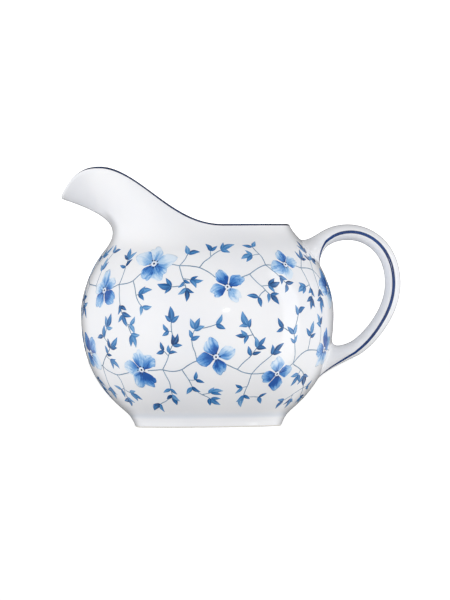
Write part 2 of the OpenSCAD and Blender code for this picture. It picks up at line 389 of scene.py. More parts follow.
UPPER_ROOT_HEIGHT, UPPER_ROOT_HALF = 65.8, 5.2
LOWER_ROOT_HEIGHT, LOWER_ROOT_HALF = 25.4, 8.0
UPPER_END, UPPER_LIFT = np.array([44.7, 70.8]), math.radians(32)
LOWER_END, LOWER_LIFT = np.array([55.4, 28.9]), math.radians(24)
UPPER_PULL, OVER_PULL, UNDER_PULL, LOWER_PULL = 12, 17.3, 12.6, 4.4
ROOT_HALF_WIDTH = 6.0
BURIED, BURIED_SPREAD = 0.4, 1.02  # how deep a root's end lies in the wall


def heading(angle):
    return np.array([math.cos(angle), math.sin(angle)])


OVER_CURVE = [
    UPPER_END,
    UPPER_END + UPPER_PULL * heading(UPPER_LIFT),
    (GRIP_REACH, GRIP_HEIGHT + OVER_PULL),
    (GRIP_REACH, GRIP_HEIGHT),
]
DOWN_CURVE = [
    (GRIP_REACH, GRIP_HEIGHT),
    (GRIP_REACH, GRIP_HEIGHT - UNDER_PULL),
    LOWER_END + LOWER_PULL * heading(LOWER_LIFT),
    LOWER_END,
]


def grip_ring(middle, travel, turns):
    run = unit(travel)
    rise = GRIP_THICKNESS / 2 * np.cos(turns)
    across = GRIP_WIDTH / 2 * np.sin(turns)
    return np.stack([middle[0] - rise * run[1], across, middle[1] + rise * run[0]], -1)


def back_profile():
    """The body's outline behind the handle, as (radius, height)."""
    v = np.linspace(0, 1, 60)
    neck = wall_point(np.zeros(60), v, SHOULDER_RADIUS, 1)[:, [0, 2]]
    t = np.linspace(0, 1, 200)
    lower, upper = bezier(LOWER_SWEEP, t), bezier(UPPER_SWEEP, t)[1:]
    return np.concatenate([lower, upper, neck[1:]])


def root_print(turns, middle, half_height, spread=1.0, proud=0.0):
    """Outline on the body that a root spreads to, and the body's normals there."""
    profile = back_profile()
    height = middle + half_height * spread * np.cos(turns)
    radius = np.interp(height, profile[:, 1], profile[:, 0])
    slope = np.interp(height, profile[:, 1], np.gradient(profile[:, 0], profile[:, 1]))
    swing = ROOT_HALF_WIDTH * spread * np.sin(turns) / radius
    normal = unit(on_circle(swing, 1, -slope))
    return on_circle(swing, radius, height) + proud * normal, normal


def root_rings(lift, ring, turns, middle, half_height, pull, hug, steps=26):
    """Rings from the grip's end, spreading in fillets that lie flat on the body."""
    run = np.array([math.cos(lift), 0, math.sin(lift)])
    landing, normal = root_print(turns, middle, half_height)
    buried, _ = root_print(turns, middle, half_height, BURIED_SPREAD, -BURIED)
    inward = landing.mean(0) - landing
    inward -= (inward * normal).sum(-1, keepdims=True) * normal
    inward = unit(inward)
    points = [ring, ring - pull * run, landing + hug * inward, landing]
    shares = np.linspace(0, 1, steps)[1:]
    rings = [bezier(points, np.full(len(turns), t)) for t in shares]
    return rings + [buried]


def handle_rings(sides=72):
    turns = np.arange(sides) * 2 * math.pi / sides
    grip = []
    for curve in (OVER_CURVE, DOWN_CURVE):
        for t in np.linspace(0, 1, 61)[(1 if grip else 0) :]:
            grip.append(grip_ring(bezier(curve, t), bezier_slope(curve, t), turns))
    above = (UPPER_ROOT_HEIGHT, UPPER_ROOT_HALF)
    below = (LOWER_ROOT_HEIGHT, -LOWER_ROOT_HALF)
    upper = root_rings(UPPER_LIFT, grip[0], turns, *above, pull=2.0, hug=2.2)
    lower = root_rings(LOWER_LIFT, grip[-1], turns, *below, pull=6.0, hug=3.0)
    return np.array(upper[::-1] + grip + lower)


def make_handle():
    verts, faces = closed_rings(handle_rings())
    handle = make_mesh("jug_handle", verts, faces)
    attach(handle, "root")
    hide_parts("handle_grip", "handle_upper_root", "handle_lower_root")
    return handle


# ---- painted lines ----

# Every film's faces lie this far over and under the glaze.
FILM_TOP, FILM_BOTTOM = 0.03, -0.02
LINE_TOP = FILM_TOP + 0.01
# Half the rim line's turn over the crown, in radians, and where it thins.
RIM_LINE_HALF, LIP_LINE_HALF = 1.12, 0.6
THINNING_START, THINNING_LENGTH = 150, 22


def make_rim_line():
    """A band over the crown of the rim, drawn thin round the spout's lip."""
    angles = np.arange(0, 360, 1.0)
    a, _ = fold(angles)
    lean = mix(BACK_LEAN, TIP_LEAN, flare(a))
    thinned = ease((a - THINNING_START) / THINNING_LENGTH)
    half = mix(RIM_LINE_HALF, LIP_LINE_HALF, thinned)
    turn = (math.pi - lean)[:, None] + half[:, None] * np.linspace(-1, 1, 9)
    span = np.broadcast_to(angles[:, None], turn.shape)
    top, bottom = rim_point(span, turn, LINE_TOP), rim_point(span, turn, FILM_BOTTOM)
    verts = np.concatenate([top, bottom[:, ::-1]], 1)
    rows, count = verts.shape[:2]
    index = np.arange(rows * count).reshape(rows, count)
    after = np.roll(index, -1, axis=0)
    beside = [np.roll(row, -1, axis=1) for row in (after, index)]
    faces = quads(index, after, *beside).tolist()
    smooth = np.tile(np.arange(count) < count // 2 - 1, rows)
    line = make_mesh("rim_band", verts.reshape(-1, 3), faces, smooth)
    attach(line, "root")
    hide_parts("rim_line")
    return line


LINE_WIDTH = 1.15
# It narrows to this share at its ends, over these shares of its length.
LINE_END, UPPER_TAPER, LOWER_TAPER = 0.45, 0.012, 0.05
# Way round the grip, in degrees from its outer side, at shares of its length.
LINE_PLACES = (0.0, 0.05, 0.11, 0.18, 0.28, 0.5, 0.72, 0.86, 1.0)
LINE_TURNS = (168, 132, 104, 90, 82, 85, 79, 67, 22)


def make_handle_line(name, side, node):
    """A line brushed along one flank of the handle, from root to root."""
    rings = handle_rings(sides=360)[3:-3]
    centre = rings.mean(1, keepdims=True)
    walked = np.cumsum(np.linalg.norm(np.diff(centre[:, 0], axis=0), axis=1))
    u = np.concatenate([[0], walked]) / walked[-1]
    turn = np.interp(u, LINE_PLACES, LINE_TURNS)
    turn = np.convolve(np.pad(turn, 6, "edge"), np.ones(13) / 13, "valid")
    i = np.arange(len(rings))
    spread = []
    near_end = np.minimum(u / UPPER_TAPER, (1 - u) / LOWER_TAPER)
    taper = np.minimum(1, near_end + LINE_END)
    place = np.mod(turn * side, 360)
    k = place.astype(int)
    degree = np.linalg.norm(rings[i, (k + 1) % 360] - rings[i, k], axis=1)
    for share in np.linspace(-0.5, 0.5, 5):
        shifted = np.mod(place + share * LINE_WIDTH * taper / degree, 360)
        k = shifted.astype(int)
        w = (shifted - k)[:, None]
        spread.append(rings[i, k % 360] * (1 - w) + rings[i, (k + 1) % 360] * w)
    strip = np.stack(spread, 1)
    normal = unit(np.cross(*np.gradient(strip, axis=(0, 1))))
    normal *= np.sign((normal * (strip - centre)).sum(-1, keepdims=True))
    top, bottom = strip + LINE_TOP * normal, strip + FILM_BOTTOM * normal
    strokes = pairs(u[:, None], np.linspace(0, 1, 5), strip.shape[:2])
    line = film(name, top[None], bottom[None], {"strokes": strokes[None]})
    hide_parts(node)
    return line


# ---- the print's ground: the outside of the body, unrolled ----
# A place is (angle round, in degrees; length up the wall from the foot, in mm).

GROUND_STEP = 0.5
COLUMNS_PER_DEGREE = 2
PRINT_FLOOR, PRINT_CEILING = 1.8, 76.5


def lay_ground():
    """Points and normals over the wall: rows are even up its length, columns round."""
    angles = np.linspace(0, 360, 360 * COLUMNS_PER_DEGREE + 1)
    lower = even_bezier(LOWER_SWEEP, 0, 1, 110, fine=300)
    upper = even_bezier(UPPER_SWEEP, 0, 1, 70, fine=300)[1:]
    neck = wall_rings(angles, np.linspace(0, 1, 61)[1:], SHOULDER_RADIUS, 1)
    net = np.concatenate([revolve(np.concatenate([lower, upper]), angles), neck])
    climb = np.linalg.norm(np.diff(net, axis=0), axis=2)
    climb = np.concatenate([np.zeros((1, len(angles))), np.cumsum(climb, axis=0)])
    levels = np.arange(0, PRINT_CEILING + 5, GROUND_STEP)
    points = np.empty((len(levels), len(angles), 3))
    for j in range(len(angles)):
        for k in range(3):
            points[:, j, k] = np.interp(levels, climb[:, j], net[:, j, k])
    upward = np.gradient(points, axis=0)
    ends = np.concatenate([points[:, -2:-1], points, points[:, 1:2]], axis=1)
    around = ends[:, 2:] - ends[:, :-2]
    return points, unit(np.cross(around, upward)), levels


GROUND, GROUND_NORMAL, LEVELS = lay_ground()


def on_ground(places, lift=0.0):
    """The point over each place, lifted off the wall along its normal."""
    places = np.asarray(places, float)
    angle, level = np.mod(places[..., 0], 360), places[..., 1]
    row = np.clip(level / GROUND_STEP, 0, len(LEVELS) - 1.001)
    across = np.clip(angle * COLUMNS_PER_DEGREE, 0, GROUND.shape[1] - 1.001)
    i, j = row.astype(int), across.astype(int)
    u, v = (row - i)[..., None], (across - j)[..., None]

    def sample(grid):
        low = grid[i, j] * (1 - v) + grid[i, j + 1] * v
        high = grid[i + 1, j] * (1 - v) + grid[i + 1, j + 1] * v
        return low * (1 - u) + high * u

    return sample(GROUND) + np.asarray(lift)[..., None] * unit(sample(GROUND_NORMAL))


def level_at(height):
    return float(np.interp(height, GROUND[:, 0, 2], LEVELS))


def degrees_per_mm(level):
    """Measured on the side of the jug, a quarter of the way round."""
    side = GROUND[:, 90 * COLUMNS_PER_DEGREE]
    return np.degrees(1 / np.interp(level, LEVELS, np.hypot(side[:, 0], side[:, 1])))


def step_from(place, heading, length):
    """Place reached from another by going straight; heading 0 is round, 90 is up."""
    rad = np.radians(heading)
    level = place[1] + length * np.sin(rad)
    return np.array([place[0] + length * np.cos(rad) * degrees_per_mm(level), level])


def bearing(start, goal):
    """Heading and length from one place to another, the short way round."""
    across = (goal[0] - start[0] + 180) % 360 - 180
    across /= degrees_per_mm((start[1] + goal[1]) / 2)
    up = goal[1] - start[1]
    return math.degrees(math.atan2(up, across)), math.hypot(across, up)


# ---- laying out the print ----


STEM, TWIG, SPRIG = 0.38, 0.34, 0.3  # widths
PATH_STEP = 0.7
LEAF_TONES = (0.45, 1.0)
FAR = 99.0


class Layout:
    """Where everything printed goes, and how near to it anything else may come."""

    def __init__(self, seed):
        self.dice = np.random.default_rng(seed)
        self.draw = self.dice.uniform
        self.flowers, self.stems, self.leaves = [], [], []
        self.spots, self.reach = [], []

    def keep_clear(self, place, reach):
        self.spots.append(on_ground(place))
        self.reach.append(reach)

    def room(self, place):
        """Distance from a place to the edge of the nearest thing laid so far."""
        if not self.spots:
            return FAR
        away = np.array(self.spots) - on_ground(place)
        return float((np.linalg.norm(away, axis=1) - np.array(self.reach)).min())

    def add_flower(self, place, size):
        flower = dict(place=place, size=size)
        flower["turn"] = self.draw(0, 360)
        flower["squash"] = self.draw(0.76, 1.0)
        flower["tilt"] = self.draw(0, 360)
        flower["petals"] = 5 if self.dice.random() < 0.35 else 4
        flower["tone"] = self.dice.choice([-0.22, -0.1, 0.0, 0.05])
        self.flowers.append(flower)
        self.keep_clear(place, size * 0.92)

    def add_stem(self, path, width=STEM):
        path = np.array(path)
        self.stems.append((path, width))
        for place in path[::3]:
            self.keep_clear(place, 0.5)

    def add_leaves(self, place, heading, count, size=1.0):
        """A pair or a triad of leaves that spring from one place."""
        turns = [-self.draw(32, 62), self.draw(32, 62)]
        turns += [self.draw(-10, 10)] * (count - 2)
        for i, turn in enumerate(turns):
            length = self.draw(3.8, 5.2) * size * (1.12 if i == 2 else 0.92)
            back = 0 if i == 2 else self.draw(0.1, 1.3)
            leaf = dict(heading=heading + turn, length=length)
            leaf["place"] = step_from(place, heading + 180, back)
            leaf["width"] = length * self.draw(0.36, 0.48)
            leaf["bend"] = self.draw(-0.04, 0.14) * (-1 if turn > 0 else 1)
            leaf["tone"] = self.draw(*LEAF_TONES)
            leaf["seed"] = self.dice.random()
            self.leaves.append(leaf)
        self.keep_clear(step_from(place, heading, 2.0 * size), 2.7 * size)

    def end_twig(self, path, last, triads, width, size=1.0):
        """Lays a twig's stem and its last leaves; triads is the chance of three."""
        self.add_leaves(path[-1], last, 3 if self.dice.random() < triads else 2, size)
        self.add_stem(path, width)

    def wander(self, place, heading, length, bend):
        """Path of a twig that bends steadily, with a little shake."""
        path = [place]
        for _ in range(max(2, int(length / PATH_STEP))):
            heading += bend * PATH_STEP + self.dice.normal(0, 4.5)
            path.append(step_from(path[-1], heading, PATH_STEP))
        return path, heading

    def link(self, start, goal, stop):
        """Path from one flower to the next, with a node or two where it turns."""
        heading, length = bearing(start, goal)
        side = self.dice.choice([-1, 1])
        heading += side * self.draw(18, 34)
        place, path, nodes = start, [start], []
        walked, next_node = 0.0, self.draw(0.26, 0.36) * length
        while walked < 2.2 * length:
            aim, left = bearing(place, goal)
            if left < stop:
                break
            off = (aim - heading + 180) % 360 - 180
            heading += np.clip(off * 0.09, -6, 6) + self.dice.normal(0, 3.0)
            place = step_from(place, heading, PATH_STEP)
            path.append(place)
            walked += PATH_STEP
            if walked > next_node and left > 0.25 * length:
                kink = side * self.draw(12, 26)
                nodes.append((place, heading, -side))
                heading += kink
                side = -side
                next_node += self.draw(0.2, 0.3) * length
        return path, nodes

    def in_band(self, place):
        return PRINT_FLOOR + 3.2 < place[1] < PRINT_CEILING - 3.0

    def add_twig(self, place, heading, side, forks=True, tries=14):
        """Best of several twigs off a stem, ending in leaves; False if none fit."""
        best = None
        for _ in range(tries):
            turn = side * self.draw(38, 78)
            length = self.draw(6.0, 13.0)
            bend = self.draw(-3.5, 3.5)
            path, last = self.wander(place, heading + turn, length, bend)
            tip = step_from(path[-1], last, 2.2)
            if not self.in_band(tip):
                continue
            needed = ((tip, 2.4), (path[-1], 1.2), (path[len(path) // 2], -0.4))
            score = min(self.room(spot) - space for spot, space in needed)
            if best is None or score > best[0]:
                best = (score, path, last)
        if best is None or best[0] < 0.2:
            return False
        _, path, last = best
        fork = path[int(len(path) * 0.55)]
        self.end_twig(path, last, 0.7, TWIG)
        if self.dice.random() < 0.45 and len(path) > 9:
            self.add_leaves(path[-6], last, 2, 0.85)
        if forks and len(path) > 11:
            self.add_sprig(fork, last, self.dice.choice([-1, 1]))
        return True

    def add_sprig(self, place, heading, hand):
        """A short side twig with a pair of leaves, where there is room for it."""
        for _ in range(8):
            turn = hand * self.draw(40, 75)
            path, last = self.wander(place, heading + turn, self.draw(2.2, 4.2), 0)
            tip = step_from(path[-1], last, 2.0)
            if self.in_band(tip) and self.room(tip) > 2.2:
                self.end_twig(path, last, 0.45, SPRIG, 0.9)
                return

    def fill_gaps(self, widest, rounds=200):
        """Grows twigs from the nearest stem into the widest empty places."""
        angles = self.draw(0, 360, 3000)
        levels = self.draw(PRINT_FLOOR + 4.0, PRINT_CEILING - 4.0, 3000)
        tests = np.stack([angles, levels], 1)
        points, gaps, seen = on_ground(tests), np.full(len(tests), FAR), 0
        for _ in range(rounds):
            spots, reach = np.array(self.spots[seen:]), np.array(self.reach[seen:])
            if len(spots):
                away = np.linalg.norm(points[:, None] - spots[None], axis=2) - reach
                gaps, seen = np.minimum(gaps, away.min(1)), len(self.spots)
            worst = int(gaps.argmax())
            if gaps[worst] < widest:
                return
            roots = np.concatenate([path[2:] for path, _ in self.stems])
            near = np.linalg.norm(on_ground(roots) - points[worst], axis=1)
            start = roots[int(near.argmin())]
            heading, length = bearing(start, tests[worst])
            bend = self.draw(-3, 3)
            heading -= bend * length / 2
            path, last = self.wander(start, heading, max(2.0, length - 1.5), bend)
            gaps[worst] = 0
            if not self.in_band(step_from(path[-1], last, 1.0)):
                continue
            self.end_twig(path, last, 0.6, TWIG)
            if len(path) > 12:
                self.add_sprig(path[len(path) // 2], last, self.dice.choice([-1, 1]))


def garland(layout, count, height, sway, start, size):
    """A ring of flowers linked by stems, with twigs to both sides."""
    places = []
    for i in range(count):
        angle = start + (i + layout.dice.uniform(-0.13, 0.13)) * 360 / count
        swing = sway * (1 if i % 2 else -1) + layout.dice.uniform(-1.8, 1.8)
        places.append(np.array([angle, level_at(height) + swing]))
    for place in places:
        layout.add_flower(place, size * layout.dice.uniform(0.82, 1.08))
    return places


def link_garland(layout, places):
    """Stems from each flower to the next, and twigs where they turn."""
    nodes = []
    for i, place in enumerate(places):
        path, found = layout.link(place, places[(i + 1) % len(places)], stop=4.5)
        layout.add_stem(path[4:])
        nodes += found
    for node in nodes:
        layout.add_twig(*node)
    for place, heading, side in nodes:
        layout.add_twig(place, heading, -side, forks=False)


def lay_out_print():
    layout = Layout(PRINT_SEED)
    for height, reach in ((UPPER_ROOT_HEIGHT, 8.5), (LOWER_ROOT_HEIGHT, 10.0)):
        layout.keep_clear((0.0, level_at(height)), reach)
    upper = garland(layout, count=11, height=57.0, sway=4.4, start=16.4, size=8.9)
    lower = garland(layout, count=10, height=24.5, sway=3.6, start=18.0, size=8.6)
    link_garland(layout, upper)
    link_garland(layout, lower)
    layout.fill_gaps(widest=4.6)
    return layout


# ---- films: thin closed shapes that lie on the glaze ----


def pairs(first, second, shape):
    """Two numbers for every point of a grid, as a UV map holds them."""
    return np.stack([np.broadcast_to(first, shape), np.broadcast_to(second, shape)], -1)


def column(marks, key):
    """One value of every mark, shaped to meet its grid."""
    return np.array([mark[key] for mark in marks])[:, None, None]


def brushed(marks, places, along, across):
    """Maps of how far along and across its stroke a point lies, and of its tone."""
    shape = places.shape[:-1]
    tone, seed = column(marks, "tone"), column(marks, "seed")
    return {"strokes": pairs(along, across, shape), "tone": pairs(tone, seed, shape)}


def placed(marks, along, left):
    """Unrolled places of local grids: one grid for each mark's place and heading."""
    start, rad = column(marks, "place"), np.radians(column(marks, "heading"))
    level = start[..., 1] + along * np.sin(rad) + left * np.cos(rad)
    across = along * np.cos(rad) - left * np.sin(rad)
    return np.stack([start[..., 0] + across * degrees_per_mm(level), level], -1)


def grid_faces(rows, columns):
    """Faces of one film: its top grid, its bottom grid and the edge between them."""
    index = np.arange(rows * columns).reshape(rows, columns)
    top = quads(index[:-1, :-1], index[1:, :-1], index[1:, 1:], index[:-1, 1:])
    sides = index[:-1, 0], index[-1, :-1], index[:0:-1, -1], index[0, :0:-1]
    loop = np.concatenate(sides)
    after, under = np.roll(loop, -1), rows * columns
    edge = quads(after, loop, loop + under, after + under)
    return np.concatenate([top, top[:, ::-1] + under, edge])


def film(name, tops, bottoms, maps):
    """One piece of many films; tops and bottoms are count x rows x columns x 3.

    Only the top faces are smooth, so that the thin edges don't bend the shading.
    """
    count, rows, columns = tops.shape[:3]
    verts = np.concatenate([x.reshape(count, -1, 3) for x in (tops, bottoms)], 1)
    size = 2 * rows * columns
    faces = grid_faces(rows, columns)[None] + (np.arange(count) * size)[:, None, None]
    smooth = np.tile(np.arange(faces.shape[1]) < (rows - 1) * (columns - 1), count)
    faces = faces.reshape(-1, 4).tolist()
    piece = make_mesh(name, verts.reshape(-1, 3), faces, smooth)
    corner = np.empty(len(piece.data.loops), int)
    piece.data.loops.foreach_get("vertex_index", corner)
    for label, values in maps.items():
        both = np.concatenate([values.reshape(count, -1, 2)] * 2, 1).reshape(-1, 2)
        layer = piece.data.uv_layers.new(name=label)
        layer.data.foreach_set("uv", both[corner].astype(np.float32).ravel())
    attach(piece, "root")
    return piece


# How much each kind of film is lifted, so that no two that cross share a surface.
LAYER_STEP = 0.003
PETAL_LIFT, STEM_LIFT, HEART_LIFT, DOT_LIFT = 0.004, -0.008, 0.022, 0.026


def film_on_ground(name, places, maps, lift):
    top = on_ground(places, np.broadcast_to(FILM_TOP + lift, places.shape[:-1]))
    bottom = on_ground(places, np.full(places.shape[:-1], FILM_BOTTOM))
    return film(name, top, bottom, maps)


def make_leaves(layout):
    marks = layout.leaves
    length, width, bend = (column(marks, key) for key in ("length", "width", "bend"))
    t = np.linspace(0, 1, 9)[:, None]
    v = np.linspace(-1, 1, 5)
    half = width / 2 * (np.sin(math.pi * t**0.8) ** 0.9 * (1.1 - 0.3 * t) + 0.04)
    along = length * t + 0 * v
    left = half * v + bend * length * np.sin(math.pi * t)
    places = placed(marks, along, left)
    layer = LAYER_STEP * (np.arange(len(marks)) % 4)[:, None, None]
    maps = brushed(marks, places, t, (v + 1) / 2)
    return film_on_ground("print_leaves", places, maps, layer)


STEM_STEPS = 28


def make_stems(layout):
    """All the stems as one piece: each is one film, with as many steps as the next."""
    places = []
    for path, width in layout.stems:
        line = even(path, STEM_STEPS)
        line[1:-1] = (line[:-2] + 2 * line[1:-1] + line[2:]) / 4
        scale = degrees_per_mm(line[:, 1])
        scales = np.stack([scale, np.ones(STEM_STEPS)], 1)
        run = unit(np.gradient(line, axis=0) / scales)
        side = np.stack([-run[:, 1] * scale, run[:, 0]], 1) * width / 2
        places.append(np.stack([line - side, line + side], 1))
    places = np.array(places)
    strokes = pairs(places[..., 1] / 10, 0.0, places.shape[:-1])
    return film_on_ground("print_stems", places, {"strokes": strokes}, STEM_LIFT)


def petal_marks(layout):
    """Every petal, with its own length, breadth and depth of colour."""
    dice = layout.dice
    marks = []
    for flower in layout.flowers:
        count = flower["petals"]
        deep = dice.integers(0, count)
        for k in range(count):
            angle = flower["turn"] + 360 * k / count + dice.uniform(-9, 9)
            away = math.radians(angle - flower["tilt"])
            squash = math.hypot(math.cos(away) * flower["squash"], math.sin(away))
            length = flower["size"] * dice.uniform(0.86, 1.0) * squash
            gap = min((k - deep) % count, (deep - k) % count)
            tone = (0.95, 0.66, 0.36)[gap] + flower["tone"] + dice.uniform(-0.14, 0.1)
            petal = dict(heading=angle, length=length, tone=np.clip(tone, 0, 1))
            petal["place"] = step_from(flower["place"], angle, 0.55)
            breadth = flower["size"] * dice.uniform(0.6, 0.76)
            petal["width"] = breadth * (4.3 / count) ** 0.5
            petal["bend"] = dice.uniform(-0.12, 0.12)
            petal["notch"] = dice.uniform(0.0, 0.16)
            petal["seed"] = dice.random()
            petal["side"] = dice.choice([-1.0, 1.0])
            petal["ragged"] = dice.uniform(0, 6.28, 3)
            marks.append(petal)
    return marks


PETAL_BROADEST = 0.62


def make_petals(layout):
    """Petals as grids that fan out; the tip's outline has lobes and a nick."""
    marks = petal_marks(layout)
    keys = ("length", "width", "bend", "notch", "side")
    length, width, bend, notch, side = (column(marks, key) for key in keys)
    phase = column(marks, "ragged")
    t = np.linspace(0, 1, 15)[:, None]
    v = np.sin(np.linspace(-math.pi / 2, math.pi / 2, 15))
    waves = enumerate((1.3, 2.6, 4.4))
    lobes = sum(np.sin(k * v * 2.2 + phase[..., i]) / k for i, k in waves)
    waist = 1 + 0.04 * np.sin(5 * t + phase[..., 0]) * np.sign(v)
    rise = np.sin(math.pi / 2 * np.clip(t / PETAL_BROADEST, 0, 1)) ** 1.15
    half = width / 2 * (0.14 + 0.86 * rise) * waist
    nick = notch * np.exp(-(((v - 0.2) / 0.25) ** 2))
    crown = 1 - 0.4 * np.abs(v) ** 2.2 - nick + 0.05 * lobes
    along = length * t * mix(1.0, crown, t**0.8)
    left = half * v + bend * length * np.sin(math.pi * t * 0.8)
    places = placed(marks, along, left)
    layer = (PETAL_LIFT + LAYER_STEP * (np.arange(len(marks)) % 5))[:, None, None]
    maps = brushed(marks, places, t, (v * side + 1) / 2)
    return film_on_ground("print_petals", places, maps, layer)


def dots(name, centres, radii, lift, tint, cells=7):
    """Round films, each a square grid drawn out to a disc."""
    u = np.linspace(-1, 1, cells)[:, None]
    v = np.linspace(-1, 1, cells)
    reach = np.broadcast_to(radii, len(centres))[:, None, None]
    marks = [{"place": centre, "heading": 0.0} for centre in centres]
    along = reach * u * np.sqrt(1 - v * v / 2)
    left = reach * v * np.sqrt(1 - u * u / 2)
    places = placed(marks, along, left)
    maps = {"strokes": pairs(tint, 0.0, places.shape[:-1])}
    return film_on_ground(name, places, maps, lift)


MIDDLING_FLOWER = 8.6


def make_hearts(layout):
    """The white heart of each flower, the dot in it and the stamens round it."""
    dice = layout.dice
    centres = [f["place"] for f in layout.flowers]
    scale = np.array([f["size"] / MIDDLING_FLOWER for f in layout.flowers])
    hearts = dots("print_hearts", centres, 1.08 * scale, HEART_LIFT, 0.0)
    spots, radii = [], []
    for flower, k in zip(layout.flowers, scale):
        spots.append(flower["place"])
        radii.append(0.42 * k)
        for i in range(8):
            angle = 45 * i + dice.uniform(-9, 9)
            away = k * dice.uniform(1.35, 1.75)
            spots.append(step_from(flower["place"], angle, away))
            radii.append(k * dice.uniform(0.22, 0.32))
    stamens = dots("print_stamens", spots, np.array(radii), DOT_LIFT, 1.0)
    return hearts, stamens


# ---- materials ----


def new_material(name):
    material = bpy.data.materials.new(name)
    material.use_nodes = True
    return material, material.node_tree.nodes["Principled BSDF"]


def feed(node, inputs):
    """Gives each input a value, or the output socket that feeds it."""
    for key, value in inputs.items():
        if isinstance(value, bpy.types.NodeSocket):
            node.id_data.links.new(value, node.inputs[key])
        else:
            node.inputs[key].default_value = value


def add_node(near, kind, inputs, **settings):
    """A new node, in the same tree as another node or socket."""
    node = near.id_data.nodes.new(kind)
    for key, value in settings.items():
        setattr(node, key, value)
    feed(node, inputs)
    return node


def noise(vector, scale, detail=2.0, roughness=0.5):
    inputs = dict(Vector=vector, Scale=scale, Detail=detail, Roughness=roughness)
    return add_node(vector, "ShaderNodeTexNoise", inputs).outputs["Fac"]


def remap(value, low, high, to_low=0.0, to_high=1.0, smooth=False):
    inputs = dict(enumerate((value, low, high, to_low, to_high)))
    kind = "SMOOTHSTEP" if smooth else "LINEAR"
    node = add_node(value, "ShaderNodeMapRange", inputs, interpolation_type=kind)
    return node.outputs["Result"]


def compute(operation, a, b=0.0):
    return add_node(a, "ShaderNodeMath", {0: a, 1: b}, operation=operation).outputs[0]


def times(a, b):
    return compute("MULTIPLY", a, b)


def add_up(total, *parts):
    for part in parts:
        total = compute("ADD", total, part)
    return total


def blend_colour(share, first, second):
    inputs = {0: share, 6: first, 7: second}
    return add_node(share, "ShaderNodeMix", inputs, data_type="RGBA").outputs[2]


def ramp(value, *stops):
    """Colour that a value picks, between stops of (value, web colour)."""
    node = add_node(value, "ShaderNodeValToRGB", {"Fac": value})
    elements = node.color_ramp.elements
    while len(elements) < len(stops):
        elements.new(0.5)
    for element, (place, colour) in zip(elements, stops):
        element.position, element.color = place, rgb(colour)
    return node.outputs["Color"]


def rgb(text):
    """Linear colour from a web colour."""
    web = [int(text[i : i + 2], 16) / 255 for i in (0, 2, 4)]
    linear = [v / 12.92 if v <= 0.04045 else ((v + 0.055) / 1.055) ** 2.4 for v in web]
    return (*linear, 1.0)


GLOSS = 0.09
BISCUIT_ROUGHNESS = 0.62


def coordinates(near, kind):
    return add_node(near, "ShaderNodeTexCoord", {}).outputs[kind]


def separate(vector):
    return add_node(vector, "ShaderNodeSeparateXYZ", {0: vector}).outputs


def uv_map(near, label):
    node = add_node(near, "ShaderNodeUVMap", {}, uv_map=label)
    return separate(node.outputs["UV"])[:2]


def glossy_finish(shader):
    """Roughness and faint ripples that glaze and print share."""
    place = coordinates(shader, "Object")
    smudge = noise(place, 90.0, 3.0)
    rough = remap(smudge, 0.3, 0.7, GLOSS - 0.025, GLOSS + 0.035)
    ripple = {"Strength": 0.12, "Distance": 0.0006, "Height": noise(place, 55.0, 1.0)}
    bump = add_node(shader, "ShaderNodeBump", ripple)
    feed(shader, {"Roughness": rough, "Normal": bump.outputs["Normal"]})
    return place, rough


def glossy_material(name, paint):
    """A material with the glossy finish; paint draws the nodes of its colour."""
    material, shader = new_material(name)
    place, _ = glossy_finish(shader)
    feed(shader, {"Base Color": paint(place)})
    return material


def glaze_material():
    """White porcelain under clear glaze, bare and matt where the foot stands.

    Heights are in metres: a painted shade darkens the crease where the foot joins the
    belly.
    """
    material, shader = new_material("glazed_porcelain")
    place, rough = glossy_finish(shader)
    cloud = remap(noise(place, 28.0, 3.0), 0.35, 0.65)
    white = blend_colour(cloud, rgb("F0F1F5"), rgb("F6F6F8"))
    height = separate(place)[2]
    # painted shade: the white turns grey-blue in the crease just above the foot
    crease_shade_top = remap(height, 0.0062, 0.0044, 0.0, 1.0, True)
    crease_shade_foot = remap(height, 0.0030, 0.0042, 0.0, 0.5, True)
    white = blend_colour(times(crease_shade_top, crease_shade_foot), white, rgb("D9E1EC"))
    bare = remap(height, 0.0007, 0.0003, 0.0, 1.0, True)
    grain = remap(noise(place, 1900.0, 2.0), 0.3, 0.7)
    biscuit = blend_colour(grain, rgb("DDD9D0"), rgb("E9E6DF"))
    finish = {0: bare, 2: rough, 3: BISCUIT_ROUGHNESS}
    rough = add_node(bare, "ShaderNodeMix", finish, data_type="FLOAT").outputs[0]
    inputs = {
        "Base Color": blend_colour(bare, white, biscuit),
        "Roughness": rough,
        "Subsurface Weight": 0.08,
        "Subsurface Radius": (0.0022, 0.0020, 0.0018),
        "Subsurface Scale": 1.0,
    }
    feed(shader, inputs)
    return material


def stroke_noise(stroke, seed, stretch):
    """Noise drawn out along a brush stroke."""
    inputs = {k: times(stroke[k], stretch[k]) for k in (0, 1)}
    join = add_node(seed, "ShaderNodeCombineXYZ", {**inputs, 2: times(seed, 60.0)})
    return noise(join.outputs[0], 1.0, 3.0, 0.6)


def streaks(stroke, seed, stretch, swing):
    return remap(stroke_noise(stroke, seed, stretch), 0.3, 0.7, -swing, swing)


def off_middle(across):
    return compute("ABSOLUTE", compute("SUBTRACT", across, 0.5))


